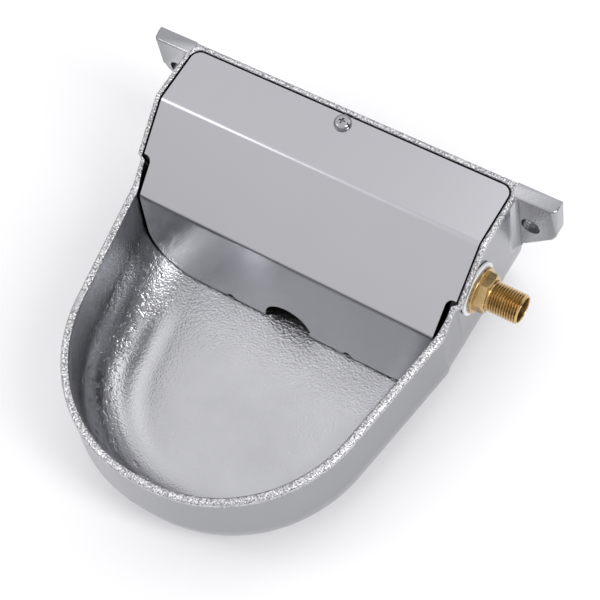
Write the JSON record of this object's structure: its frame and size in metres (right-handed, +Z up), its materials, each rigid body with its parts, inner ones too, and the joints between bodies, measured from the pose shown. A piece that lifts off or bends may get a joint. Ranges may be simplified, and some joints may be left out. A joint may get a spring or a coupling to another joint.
{
  "type": "float drinking bowl",
  "caption": "Cast aluminium livestock drinking bowl with a folded stainless cover over its float chamber and a brass float valve with a side inlet.",
  "frame": {"origin": "on the flat wall face of the casting, in the middle of the bowl's width and at the height of the two bolt slots", "axes": "+Y out of the back towards the wall, -Y towards the drinking side, +X the side with the water inlet, +Z up"},
  "size_m": [0.3151, 0.2841, 0.1275],
  "materials": {
    "cast_aluminium": "sand cast, satin, lightly grained",
    "satin_stainless": "cold rolled satin sheet",
    "bright_stainless": "bright stainless",
    "turned_brass": "turned, unpolished",
    "white_nylon": "plain moulded",
    "black_rubber": "matt",
    "float_plastic": "plain moulded"
  },
  "bodies": {
    "housing": {"bowl_casting": "cast_aluminium", "cover_plate": "satin_stainless", "cover_screw": "bright_stainless", "outer_washer": "white_nylon", "back_nut": "turned_brass", "inner_gasket": "black_rubber", "valve_body": "turned_brass", "valve_seat": "white_nylon", "seat_seal": "black_rubber", "end_cap": "turned_brass", "pivot_pin": "bright_stainless", "pin_clip": "bright_stainless"},
    "float_arm": {"lever_arm": "turned_brass", "lever_lock_nut": "turned_brass", "float_rod": "turned_brass", "float_lock_nut": "turned_brass", "float_insert": "turned_brass", "float_upper_shell": "float_plastic", "float_lower_shell": "float_plastic"},
    "piston_set": {"piston": "turned_brass", "piston_cap": "turned_brass", "piston_washer": "black_rubber"}
  },
  "joints": [
    {"name": "float_arm", "type": "hinge", "parent": "housing", "child": "float_arm", "pos_m": [0.078, -0.0612, -0.027], "axis": [0, 1, 0], "range_deg": [0, 12]},
    {"name": "piston_slide", "type": "slide", "parent": "housing", "child": "piston_set", "axis": [1, 0, 0], "range_m": [0, 0.00252]}
  ],
  "couplings": [
    {"joint": "piston_slide", "follows": "float_arm", "m_per_rad": 0.01198}
  ]
}
